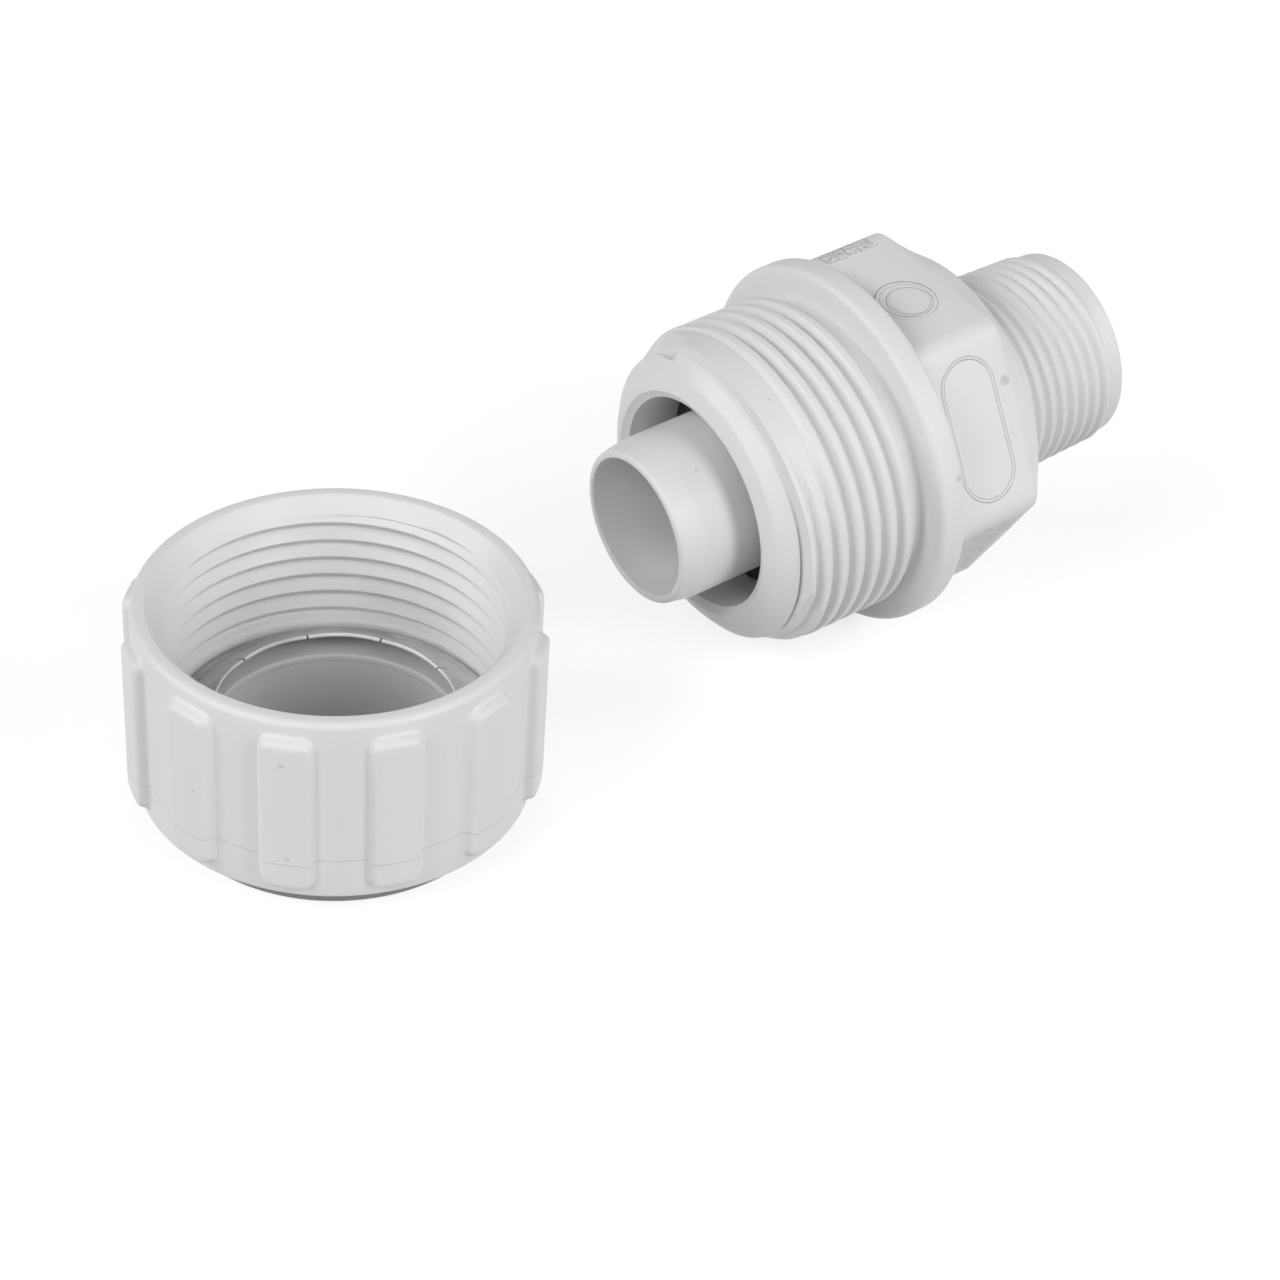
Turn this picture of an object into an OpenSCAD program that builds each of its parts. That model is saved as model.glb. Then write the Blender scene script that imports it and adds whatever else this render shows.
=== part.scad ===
// Compression pipe adapter: a moulded body with a pipe socket and a tapered male pipe thread,
// its stem and rubber seal, and the ribbed compression nut taken off, with its steel grab ring.
// Millimetres, +Z up. The origin is the centre of the nut's pipe bore, on the floor that the nut
// stands on. +X is the plan direction of the body's axis, from the socket to the pipe thread.

/* [Placing] */
// X of the socket mouth's centre
body_x = 53.5; // [40:0.1:90]
// Y of the socket mouth's centre
body_y = 2; // [-40:0.1:40]
// Rise of the pipe-thread end as the body leans on its flange, in degrees
body_tilt = 4.1; // [0:0.1:10]
// Turn of the hexagon's uppermost flat from straight up, in degrees
hex_turn = 4; // [-30:0.5:30]

/* [Pipe that goes in] */
// Outer radius of the plain pipe that the fitting takes
tube_r = 14.3; // [12:0.05:16]
// Radial clearance of the pipe in the body's socket
socket_gap = 0.2; // [0.1:0.05:0.5]
// Radial clearance of the pipe in the nut's end
exit_gap = 0.6; // [0.2:0.05:1]
// Radial clearance of the pipe at the untightened teeth
tip_gap = 0.1; // [-0.5:0.05:0.5]

/* [Compression thread] */
// Crest radius of the body's compression thread
thread_r = 21.25; // [18:0.05:26]
// Pitch of the compression thread
thread_pitch = 2.54; // [1.5:0.01:4]
// Radial depth of the compression thread
thread_depth = 1.35; // [0.8:0.05:1.8]
// Width of the thread's crest flat
thread_crest = 0.8; // [0.3:0.05:1.2]
// Width of the thread's root flat
thread_root = 0.26; // [0.1:0.02:0.6]
// Radial clearance between the body's thread and the nut's
thread_gap = 0.25; // [0.1:0.05:0.5]
// Distance of the first crest from the socket's mouth
thread_start = 3.0; // [2:0.1:6]
// Turns of thread on the body
thread_turns = 7; // [4:1:8]

/* [Body] */
// Radius of the plain nose ahead of the thread
nose_r = 19.3; // [17:0.1:20]
// Length of the nose's conical front
nose_cone = 2.6; // [1:0.1:4]
// Radial width of the flat face round the mouth's lead-in
nose_face = 0.5; // [0.1:0.1:2]
// Radial width of the lead-in at the socket's mouth
mouth_lead = 0.6; // [0.2:0.1:1.5]
// Depth of the mouth's lead-in
mouth_depth = 1.5; // [0.5:0.1:3]
// Outer radius of the flange
flange_r = 24.3; // [22:0.1:28]
// Distance of the flange's front face from the mouth
flange_front = 21.45; // [20:0.05:26]
// Width of the flange
flange_w = 3.8; // [2:0.1:6]
// Edge radius of the flange
flange_edge = 0.9; // [0.2:0.1:1.5]
// Distance across the hexagon's flats
hex_flats = 41.2; // [36:0.2:46]
// Radius over the hexagon's rounded corners
hex_corner_r = 23.3; // [21:0.1:24]
// Distance of the hexagon's end face from the mouth
hex_end = 40.9; // [34:0.1:46]
// Length of the hexagon's end chamfer
hex_chamfer = 4.6; // [2:0.1:7]
// Radius of the hexagon's round end face
hex_face_r = 19.5; // [16:0.1:20.5]
// Distance of the hexagon's panel and round mark from the mouth
mark_along = 31.2; // [29:0.1:34]
// Depth of the panel and height of the round mark
mark_h = 0.2; // [0.1:0.05:0.6]
// Width of the long panel
panel_w = 7.9; // [5:0.1:9]
// Length of the long panel
panel_len = 18.6; // [12:0.2:20]
// Outer diameter of the round mark
ring_mark_d = 7.9; // [5:0.1:9]
// Line width of the round mark
ring_mark_w = 0.6; // [0.3:0.05:1]
// Distance of the round mark from the middle of its flat
ring_mark_side = 2.1; // [0:0.1:4]

/* [Stem] */
// Outer radius of the stem that goes inside the pipe
stem_r = 10.75; // [9.5:0.05:11.5]
// Radius of the flow bore, right through
flow_r = 9.2; // [7:0.1:10]
// Distance that the stem stands out of the mouth
stem_out = 8.2; // [0:0.1:15]
// Length of the stem's lead-in taper
stem_taper = 3; // [1:0.1:6]
// Radial depth of the stem's lead-in taper
stem_lead = 0.4; // [0.1:0.05:1]
// Chamfer on the stem's rim
stem_edge = 0.35; // [0.1:0.05:0.6]

/* [Pipe thread] */
// Crest radius of the tapered pipe thread at its open end
pipe_r = 13.1; // [11:0.05:16]
// Pitch of the pipe thread
pipe_pitch = 1.814; // [1:0.001:2.5]
// Radial depth of the pipe thread
pipe_depth = 1.15; // [0.6:0.05:1.4]
// Width of the pipe thread's crest and root flats
pipe_flat = 0.16; // [0.1:0.02:0.3]
// Distance of the first groove from the hexagon's end face
pipe_runout = 2; // [1:0.1:4]
// Chamfer on the pipe thread's open end
pipe_chamfer = 0.5; // [0.2:0.1:1]
// Turns of thread on the taper
pipe_turns = 10; // [6:1:11]
// Overall distance from the mouth to the open end
body_len = 61.3; // [50:0.1:70]

/* [Seal] */
// Depth of the seal's front face from the mouth
seal_front = 7.7; // [4:0.1:12]
// Length of the seal, which lies on the socket's bottom
seal_len = 6; // [4:0.1:11]
// Chamfer on the seal's edges
seal_edge = 0.4; // [0.1:0.1:1]
// Radial clearance of the seal in its socket and on the stem
seal_gap = 0.05; // [0.02:0.01:0.2]

/* [Nut] */
// Outer radius of the nut's wall at its open rim
nut_r = 24.1; // [22:0.1:28]
// Inward draft of the nut's wall over its height
nut_draft = 0.25; // [0:0.05:1]
// Overall height of the nut
nut_h = 29.1; // [22:0.1:36]
// Inner radius of the open rim
rim_in_r = 21.9; // [21:0.1:23]
// Depth of the lead-in below the rim
lead_depth = 2.6; // [1:0.1:4]
// Edge radius of the rim
rim_edge = 0.9; // [0.2:0.1:1.6]
// Depth of the shoulder that the grab ring lies on
shoulder_depth = 19.1; // [15:0.1:24]
// Rounding of the pipe bore's edge at the shoulder
seat_edge = 0.4; // [0.2:0.1:1]
// Radial relief of the wall between the thread and the shoulder
seat_relief = 0.15; // [0:0.05:0.5]
// Radius of the nut's foot
foot_r = 20.2; // [18:0.1:22]
// Height of the nut's foot
foot_h = 3.6; // [1:0.1:6]
// Chamfer on the foot and on the wall's lower edge
nut_edge = 0.5; // [0.2:0.1:1]
// Distance of the nut's first thread groove from the rim
nut_start = 4.1; // [3:0.1:6]
// Turns of thread in the nut
nut_turns = 6; // [4:1:6]

/* [Grip ribs] */
// Number of grip ribs
rib_count = 12; // [8:1:16]
// Turn of the ribs about the nut's axis, in degrees
rib_turn = 15; // [0:0.5:30]
// Height of a rib over the wall
rib_h = 1.35; // [0.5:0.05:2]
// Width of a rib
rib_w = 6.2; // [4:0.1:9]
// Corner radius of a rib
rib_corner = 1.4; // [0.5:0.1:2.5]
// Edge radius at a rib's ends
rib_edge = 0.8; // [0.3:0.1:1.2]
// Distance of a rib's lower end from the wall's lower edge
rib_rise = 1.6; // [0.5:0.1:4]
// Distance of a rib's upper end from the rim
rib_drop = 2.2; // [1:0.1:5]

/* [Grab ring] */
// Sheet thickness of the grab ring
ring_t = 0.6; // [0.3:0.05:1]
// Radial clearance between the ring and the nut's wall
ring_gap = 0.4; // [0.1:0.05:0.8]
// Width of the ring's flat band
ring_band = 1.2; // [0.6:0.1:3]
// Rise of the teeth towards the open end, in degrees
tooth_rise = 32; // [15:1:45]
// Number of teeth
tooth_count = 10; // [6:1:18]
// Turn of the teeth about the nut's axis, in degrees
tooth_turn = 0; // [-18:0.5:18]
// Width of the notches between teeth
notch_w = 1.2; // [0.5:0.1:2]
// Radial depth of the notches between teeth
notch_d = 1.8; // [0.8:0.1:3]

/* [Hidden] */
$fn = 96;
socket_r = tube_r + socket_gap;
socket_depth = seal_front + seal_len;
exit_r = tube_r + exit_gap;
tip_r = tube_r + tip_gap;
nose_face_r = socket_r + mouth_lead + nose_face;
hex_start = flange_front + flange_w;
root_r = thread_r - thread_depth;
flank = (thread_pitch - thread_crest - thread_root) / 2;
ridge_half = thread_crest / 2 + flank;
body_turns = min(thread_turns, floor((flange_front - thread_start - ridge_half) / thread_pitch) + 1);
pipe_flank = pipe_pitch / 2 - pipe_flat;
pipe_base_r = pipe_r + (body_len - hex_end) / 32;
pipe_rings = min(pipe_turns,
    floor((body_len - pipe_chamfer - pipe_flank - hex_end - pipe_runout) / pipe_pitch) + 1);
nut_crest_r = root_r + thread_gap;
nut_root_r = thread_r + thread_gap;
nut_rings = min(nut_turns, floor((shoulder_depth - nut_start) / thread_pitch + 0.5));
thread_foot = nut_h - nut_start - (nut_rings - 0.5) * thread_pitch;
seat_z = nut_h - shoulder_depth;
seat_r = nut_crest_r + seat_relief;
rib_low = foot_h + rib_rise;
rib_high = nut_h - rib_drop;
rib_in_r = (nut_root_r + nut_r - nut_draft) / 2;
ring_r = seat_r - ring_gap;
cone_len = ring_r - ring_band - tip_r;
cone_rise = cone_len * tan(tooth_rise);
// The body's height over the floor, with its flange's front edge resting on it
body_z = flange_edge + (flange_r - flange_edge) * cos(body_tilt)
    - (flange_front + flange_edge) * sin(body_tilt);

// Turns a shape drawn about +Z, with Z as the distance from the mouth, to the body's place
module on_body() translate([body_x, body_y, body_z]) rotate([0, 90 - body_tilt, 0])
    rotate([0, 0, 180]) children();

// What a quarter-round edge takes off the outer corner at that radius and height
module edge_cut(r, z, rad, up) translate([r - rad, z]) difference() {
    translate([0, up ? 0 : -rad - 1]) square([rad + 1, rad + 1]);
    circle(r = rad);
}

// One thread ridge in profile, its flanks at 60 degrees
module ridge(z, r, depth, crest, flank_w) polygon([[r - depth - 0.2, z - crest / 2 - flank_w],
    [r - depth, z - crest / 2 - flank_w], [r, z - crest / 2], [r, z + crest / 2],
    [r - depth, z + crest / 2 + flank_w], [r - depth - 0.2, z + crest / 2 + flank_w]]);

// Nose, compression thread and flange
module front_profile() {
    polygon([[0, 0], [nose_face_r, 0], [nose_r, nose_cone], [nose_r, nose_cone + flank],
        [0, nose_cone + flank]]);
    translate([0, thread_start - ridge_half])
        square([root_r, flange_front - thread_start + ridge_half + 0.5]);
    for (k = [0 : body_turns - 1])
        ridge(thread_start + k * thread_pitch, thread_r, thread_depth, thread_crest, flank);
    difference() {
        translate([0, flange_front]) square([flange_r, flange_w]);
        edge_cut(flange_r, flange_front + flange_edge, flange_edge, false);
        edge_cut(flange_r, flange_front + flange_w - flange_edge, flange_edge, true);
    }
}

// The tapered thread: crest line from the hexagon's face to the open end, with V grooves
module pipe_profile() difference() {
    polygon([[0, hex_end - 1], [pipe_base_r, hex_end - 1], [pipe_base_r, hex_end],
        [pipe_r, body_len - pipe_chamfer], [pipe_r - pipe_chamfer, body_len], [0, body_len]]);
    for (k = [0 : pipe_rings - 1]) let (z = hex_end + pipe_runout + k * pipe_pitch,
        r = pipe_r + (body_len - z) / 32)
        polygon([[r - pipe_depth, z - pipe_flat / 3], [r - pipe_depth, z + pipe_flat / 3],
            [r + 0.1, z + pipe_flank], [r + 0.1, z - pipe_flank]]);
}

// Six flats within a turned blank: that rounds the corners and chamfers the end face
module hexagon() intersection() {
    translate([0, 0, hex_start - 1]) rotate([0, 0, hex_turn + 30])
        cylinder(r = hex_flats / 2 / cos(30), h = hex_end - hex_start + 1, $fn = 6);
    rotate_extrude() polygon([[0, hex_start - 1], [hex_corner_r, hex_start - 1],
        [hex_corner_r, hex_end - hex_chamfer], [hex_face_r, hex_end], [0, hex_end]]);
}

// A point on a flat of the hexagon, with its outward normal as +Z and the body's axis as +X
module on_flat(k, along, side) rotate([0, 0, hex_turn + 60 * k])
    translate([hex_flats / 2, side, along]) rotate([0, 90, 0]) rotate([0, 0, 180]) children();

module panel_outline() {
    square([panel_w, panel_len - panel_w], center = true);
    for (s = [-1, 1]) translate([0, s * (panel_len - panel_w) / 2]) circle(d = panel_w);
}

module round_mark() on_flat(0, mark_along, ring_mark_side) translate([0, 0, -mark_h])
    linear_extrude(2 * mark_h) difference() {
        circle(d = ring_mark_d);
        circle(d = ring_mark_d - 2 * ring_mark_w);
    }

// Open space in front of the socket's bottom: the lead-in and the bore
module socket_void() rotate_extrude() polygon([[0, -1], [socket_r + mouth_lead, -1],
    [socket_r + mouth_lead, 0], [socket_r, mouth_depth], [socket_r, socket_depth],
    [0, socket_depth]]);

module body() color([0.86, 0.86, 0.86]) on_body() difference() {
    union() {
        rotate_extrude() front_profile();
        rotate_extrude() pipe_profile();
        hexagon();
        round_mark();
    }
    socket_void();
    on_flat(1, mark_along, 0) translate([0, 0, -mark_h]) linear_extrude(2) panel_outline();
    cylinder(r = flow_r, h = body_len + 1);
}

// The tube in the middle of the socket: one moulding with the body, drawn as its own node
module stem() color([0.86, 0.86, 0.86]) on_body() rotate_extrude() polygon([
    [flow_r, -stem_out], [stem_r - stem_lead - stem_edge, -stem_out],
    [stem_r - stem_lead, -stem_out + stem_edge], [stem_r, -stem_out + stem_taper],
    [stem_r, socket_depth], [flow_r, socket_depth]]);

module seal() color([0.03, 0.03, 0.03]) on_body()
    let (a = stem_r + seal_gap, b = socket_r - seal_gap, c = seal_edge) rotate_extrude()
        polygon([[a, seal_front + c], [a + c, seal_front], [b - c, seal_front],
            [b, seal_front + c], [b, socket_depth], [a, socket_depth]]);

// Wall radius of the nut at a height over the floor
function wall_r(z) = nut_r - nut_draft * (nut_h - z) / nut_h;

module nut_shell() rotate_extrude() difference() {
    union() {
        polygon([[0, foot_h], [wall_r(foot_h) - nut_edge, foot_h],
            [wall_r(foot_h), foot_h + nut_edge], [nut_r, nut_h - 0.01], [nut_r, nut_h], [0, nut_h]]);
        polygon([[0, 0], [foot_r - nut_edge, 0], [foot_r, nut_edge], [foot_r, foot_h + 1],
            [0, foot_h + 1]]);
    }
    edge_cut(nut_r, nut_h - rim_edge, rim_edge, true);
}

// Pipe bore, shoulder, thread crests and lead-in, then a groove for each turn
module nut_void() rotate_extrude() {
    polygon([[0, -1], [exit_r, -1], [exit_r, seat_z - seat_edge], [exit_r + seat_edge, seat_z],
        [seat_r, seat_z], [seat_r, thread_foot], [nut_crest_r, thread_foot + 0.15],
        [nut_crest_r, nut_h - lead_depth], [rim_in_r, nut_h], [rim_in_r, nut_h + 1],
        [0, nut_h + 1]]);
    for (k = [0 : nut_rings - 1]) let (z = nut_h - nut_start - k * thread_pitch)
        polygon([[nut_crest_r - 0.2, z - ridge_half], [nut_crest_r, z - ridge_half],
            [nut_root_r, z - thread_crest / 2], [nut_root_r, z + thread_crest / 2],
            [nut_crest_r, z + ridge_half], [nut_crest_r - 0.2, z + ridge_half]]);
}

// One rib's outline seen from the front, with rounded corners
module rib_outline() let (w = rib_w / 2 - rib_corner) {
    translate([-rib_w / 2, rib_low + rib_corner])
        square([rib_w, rib_high - rib_low - 2 * rib_corner]);
    translate([-w, rib_low]) square([2 * w, rib_high - rib_low]);
    for (x = [-w, w], z = [rib_low + rib_corner, rib_high - rib_corner])
        translate([x, z]) circle(r = rib_corner);
}

// One ring of the ribs' outer form, with soft upper and lower edges
module rib_ring() rotate_extrude() difference() {
    polygon([[rib_in_r, rib_low], [wall_r(rib_low) + rib_h, rib_low],
        [wall_r(rib_high) + rib_h, rib_high], [rib_in_r, rib_high]]);
    edge_cut(wall_r(rib_low) + rib_h, rib_low + rib_edge, rib_edge, false);
    edge_cut(wall_r(rib_high) + rib_h, rib_high - rib_edge, rib_edge, true);
}

// All ribs: round-cornered bars cut to the drafted ring
module ribs() for (k = [0 : rib_count - 1]) rotate([0, 0, rib_turn + k * 360 / rib_count])
    intersection() {
        rib_ring();
        rotate([90, 0, 90]) translate([0, 0, rib_in_r - 1])
            linear_extrude(nut_r + rib_h + 2 - rib_in_r) rib_outline();
    }

module nut() color([0.86, 0.86, 0.86]) difference() {
    union() {
        nut_shell();
        ribs();
    }
    nut_void();
}

// Sheet-steel ring lying on the nut's shoulder: a flat band, then a cone notched into teeth
module grab_ring() color([0.62, 0.61, 0.6]) translate([0, 0, seat_z]) difference() {
    rotate_extrude() polygon([[ring_r, 0], [ring_r, ring_t], [ring_r - ring_band, ring_t],
        [tip_r, ring_t + cone_rise], [tip_r, cone_rise], [ring_r - ring_band, 0]]);
    for (k = [0 : tooth_count - 1]) rotate([0, 0, tooth_turn + k * 360 / tooth_count]) {
        translate([tip_r - 2, -notch_w / 2, -1])
            cube([notch_d - notch_w / 2 + 2, notch_w, cone_rise + 3]);
        translate([tip_r + notch_d - notch_w / 2, 0, -1]) cylinder(d = notch_w, h = cone_rise + 3);
    }
}

body();
stem();
seal();
nut();
grab_ring();
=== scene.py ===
import math

import bmesh
import bpy
import numpy as np
from mathutils import Matrix


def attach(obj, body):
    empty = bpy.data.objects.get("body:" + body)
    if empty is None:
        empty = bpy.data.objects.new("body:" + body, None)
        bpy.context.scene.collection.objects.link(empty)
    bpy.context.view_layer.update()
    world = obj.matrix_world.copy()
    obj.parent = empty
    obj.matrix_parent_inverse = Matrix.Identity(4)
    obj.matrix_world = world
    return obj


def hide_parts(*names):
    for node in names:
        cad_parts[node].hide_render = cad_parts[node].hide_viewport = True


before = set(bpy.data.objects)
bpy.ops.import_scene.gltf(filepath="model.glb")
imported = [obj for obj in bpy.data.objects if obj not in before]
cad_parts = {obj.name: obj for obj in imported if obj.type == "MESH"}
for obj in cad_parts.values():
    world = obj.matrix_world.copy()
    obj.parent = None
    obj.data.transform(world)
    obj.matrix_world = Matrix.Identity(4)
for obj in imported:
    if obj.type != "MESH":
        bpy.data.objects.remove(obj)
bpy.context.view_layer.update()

# Camera. The photograph was taken from the front left, 36 degrees above the table, with a long
# lens, so both parts are seen almost without perspective.
camera_data = bpy.data.cameras.new("camera")
camera_data.lens = 101.25
camera_data.sensor_width = 36.0
camera_data.clip_start = 0.01
camera = bpy.data.objects.new("camera", camera_data)
view_right = (0.81255851, -0.58067376, 0.05066216)
view_down = (-0.31137036, -0.50589695, -0.80443568)
view_ahead = (0.49274452, 0.63787637, -0.59187548)
camera_at = (-0.18060, -0.29258, 0.27718)
camera.matrix_world = Matrix(
    [[view_right[i], -view_down[i], -view_ahead[i], camera_at[i]] for i in range(3)]
    + [[0, 0, 0, 1]]
)
bpy.context.scene.collection.objects.link(camera)
bpy.context.scene.camera = camera
bpy.context.scene.view_settings.view_transform = "Standard"

# Body. One injection moulding in white plastic: plain nose, coarse compression thread, flange,
# hexagon for the wrench and tapered pipe thread, with the socket and the water way through it.
# It lies on the flange's edge, so its axis climbs towards the pipe thread.
mouth_at = (53.5, 2.0, 22.6421)
axis_climb = math.radians(4.1)
on_body = Matrix(
    (
        (-math.sin(axis_climb), 0, math.cos(axis_climb), mouth_at[0] * 0.001),
        (0, -1, 0, mouth_at[1] * 0.001),
        (math.cos(axis_climb), 0, math.sin(axis_climb), mouth_at[2] * 0.001),
        (0, 0, 0, 1),
    )
)
crest_r, thread_depth, thread_pitch = 21.24, 1.35, 2.54
first_crest, land_r = 2.67, 20.85
flange_r, flange_front, flange_back = 24.28, 21.45, 25.25
hex_flat_r, hex_corner_round, hex_turn, hex_end = 20.6, 3.0, 4.0, 40.9
pipe_end, pipe_pitch, pipe_depth, first_root = 61.3, 1.93, 0.72, 51.5
bore_r, mouth_r, lead_in_depth, socket_bottom, flow_r = 14.1, 15.15, 0.6, 13.7, 9.2


def arc(r, t, radius, start, stop, steps):
    """Points on a round in a turned section, with angles in degrees from the outward radius."""
    turn = np.radians(np.linspace(start, stop, steps + 1))
    return [(r + radius * math.cos(a), t + radius * math.sin(a)) for a in turn]


def softened(outline, reach, d):
    """A sharp section outline, given as distances and heights, with its corners rounded off."""
    x, y = zip(*outline)
    return np.mean([np.interp(np.abs(d + w), x, y) for w in np.linspace(-reach, reach, 9)], axis=0)


def smooth(low, high, value):
    """0 below low, 1 above high, and an even S in between."""
    step = np.clip((value - low) / (high - low), 0, 1)
    return step * step * (3 - 2 * step)


def turned_mesh(name, rows, angles, place, joins=None):
    """A closed turned or threaded skin. Each row is a radius and a distance along the axis, each
    the same all round or an array with one value for every angle, and joins says which row a row
    meets again after one turn."""
    count, turns = len(rows), np.radians(angles)
    joins = joins or {}
    r = np.array([np.broadcast_to(row[0], turns.shape) for row in rows])
    t = np.array([np.broadcast_to(row[1], turns.shape) for row in rows])
    points = np.stack([r * np.cos(turns), r * np.sin(turns), t], -1).reshape(-1, 3) * 0.001
    wide = len(angles)
    faces = []
    for j in range(count):
        k = (j + 1) % count
        faces += [
            (j * wide + i, j * wide + i + 1, k * wide + i + 1, k * wide + i) for i in range(wide - 1)
        ]
        last = wide - 1
        faces.append(
            (j * wide + last, joins.get(j, j) * wide, joins.get(k, k) * wide, k * wide + last)
        )
    mesh = bpy.data.meshes.new(name)
    mesh.from_pydata(points.tolist(), [], faces)
    tidy = bmesh.new()
    tidy.from_mesh(mesh)
    bmesh.ops.remove_doubles(tidy, verts=tidy.verts, dist=2e-7)
    bmesh.ops.dissolve_degenerate(tidy, edges=tidy.edges, dist=1e-7)
    tidy.to_mesh(mesh)
    tidy.free()
    mesh.transform(place)
    return mesh


def finished(name, mesh, edge_angle=38):
    """A new object from a mesh, smooth except at edges sharper than that angle."""
    mesh.polygons.foreach_set("use_smooth", [True] * len(mesh.polygons))
    mesh.set_sharp_from_angle(angle=math.radians(edge_angle))
    piece = bpy.data.objects.new(name, mesh)
    bpy.context.scene.collection.objects.link(piece)
    return piece


# Columns of points round the body, in degrees: even ones, finer ones over the rounded corners of
# the hexagon, and a pair at the mould's seam, where the thread's first step starts and stops.
seam_at = 340
corner_offsets = (-3.74, -2.8, -1.87, -0.93, 0, 0.93, 1.87, 2.8, 3.74)
corner_columns = [hex_turn + 30 + 60 * k + d for k in range(6) for d in corner_offsets]
special = np.array(sorted(a % 360 for a in corner_columns + [seam_at - 0.7, seam_at + 0.7]))
plain = [a for a in np.arange(0, 360, 1.5) if np.abs(special - a).min() > 0.6]
body_angles = np.array(sorted(list(special) + plain))

# The same angles counted three ways: on from the seam, either way from 0, and away from the
# middle of the side that is seen.
wound = np.where(body_angles >= seam_at, body_angles - 360, body_angles)
signed = (body_angles + 180) % 360 - 180
near_middle = 43.5
off_middle = np.abs((body_angles - near_middle + 180) % 360 - 180)
fade = smooth(40, 75, off_middle)

root_r = crest_r - thread_depth
half_pitch = thread_pitch / 2
thread_outline = [(0, 0), (0.5, 0), (1.12, -thread_depth), (half_pitch, -thread_depth)]
thread_corner = 0.13
cone_foot_r, cone_foot_t, cone_slope, cone_near_lift, cone_far_drop = 19.5, 3.0, 0.55, 2.2, 0.5
shallow_share, land_turns, cone_floor_r = 0.34, 1.5, root_r - 0.9


def thread_radius(t):
    """The compression thread's skin. It starts with a plain land on the near side, where the first
    grooves rise out of nothing, and on the far side it starts on a lead-in cone."""
    r = np.full(np.broadcast(t, wound).shape, crest_r)
    for n in range(-1, 8):
        groove = first_crest + thread_pitch * (n + 0.5 + wound / 360)
        share = np.ones(wound.shape)
        if n == -1:
            share = np.zeros(wound.shape)
        if n == 0:
            share = smooth(0, 110, wound) * (1 - smooth(250, 300, wound))
        if n == 1:
            deeper = shallow_share + (1 - shallow_share) * smooth(42, 88, wound)
            share = np.where(wound < 180, deeper, 1.0)
        from_flank = np.clip(half_pitch - np.abs(t - groove), 0, half_pitch)
        cut = softened(thread_outline, thread_corner, from_flank) * share
        r = np.where(np.abs(t - groove) <= half_pitch, np.minimum(r, crest_r + cut), r)
    land_end = first_crest + thread_pitch * (land_turns + signed / 360)
    rising = smooth(0.1, 0.5, t - land_end)
    height = np.maximum(rising, smooth(38, 82, signed)) * (signed > -120)
    landed = land_r + (crest_r - land_r) * height
    r = np.where((t < land_end + 0.5) & (signed < 90), np.minimum(r, landed), r)
    cone = cone_foot_r + cone_slope * (t - cone_foot_t) + cone_near_lift * (1 - fade)
    cone = cone - cone_far_drop * smooth(75, 90, off_middle)
    return np.minimum(r, np.maximum(cone, cone_floor_r))


# The front of the nose: a flat face round the mouth, a rounded shoulder, and a rim with the
# thread's first step behind it. The rim is undercut from the far side on, and most of all for a
# short way before the seam.
front_step = 2.75 + 0.4 * smooth(20, 75, signed) + 0.3 * smooth(5, 30, -signed)
front_step = np.minimum(front_step, 3.15 - 0.1 * smooth(80, 100, off_middle))
relief = smooth(38, 115, wound) + 1.4 * smooth(308, 336, wound)
face_near = [(16.2, 0.38), (17.0, 0.7), (17.25, 0.82), (17.45, 0.97), (17.8, 1.3), (18.4, 1.88)]
face_far = [(16.2, 0.45), (16.9, 0.78), (17.2, 0.95), (17.45, 1.13), (17.8, 1.4), (18.4, 1.9)]
body_rows = [(mouth_r, 0.0), (mouth_r + 0.15, 0.03)]
for near, far in zip(face_near, face_far):
    body_rows.append(tuple(near[k] + (far[k] - near[k]) * fade for k in (0, 1)))
nose_rim_t = front_step - 0.45 - 0.45 * smooth(322, 338, wound)
nose_rim_r = face_far[-1][0] + (nose_rim_t - face_far[-1][1]) * 1.12
body_rows += [(nose_rim_r - 0.13, nose_rim_t - 0.12), (nose_rim_r, nose_rim_t)]
body_rows += [(nose_rim_r + 0.05 - 0.1 * relief, nose_rim_t + 0.07)]
body_rows += [(nose_rim_r + 0.1 - 0.75 * relief, nose_rim_t + 0.16)]
body_rows += [(nose_rim_r + 0.2 - 0.9 * relief, nose_rim_t + 0.3)]
body_rows += [(nose_rim_r + 0.3 - relief, front_step - 0.06)]

# The compression thread's rows wind round with the helix, so each meets the row one turn on.
per_turn = [-1.16, -1.06, -0.88, -0.62, -0.5, -0.4, -0.28, 0]
per_turn += [0.28, 0.4, 0.5, 0.62, 0.88, 1.06, 1.16, half_pitch]
thread_end = 18.95
thread_rows = []
for n in range(-2, 8):
    for d in per_turn:
        t = first_crest + thread_pitch * (n + body_angles / 360) + d
        t = np.clip(t, front_step, thread_end)
        thread_rows.append((thread_radius(t), t))
thread_top = thread_rows[0][0]
body_rows += [(thread_top - 0.12, front_step - 0.05)]
start = len(body_rows)
body_rows += thread_rows
body_joins = {}
for j in range(len(thread_rows)):
    body_joins[start + j] = start + min(j + len(per_turn), len(thread_rows) - 1)

# The neck behind the thread, and the flange with its rounded edge.
flange_round = 0.9
body_rows += [(root_r, 19.6), (root_r, 21.1), (root_r + 0.09, 21.33), (root_r + 0.35, flange_front)]
body_rows += [(22.0, flange_front)]
body_rows += arc(flange_r - flange_round, flange_front + flange_round, flange_round, -90, 0, 6)
body_rows += arc(flange_r - flange_round, flange_back - flange_round, flange_round, 0, 90, 6)

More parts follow.
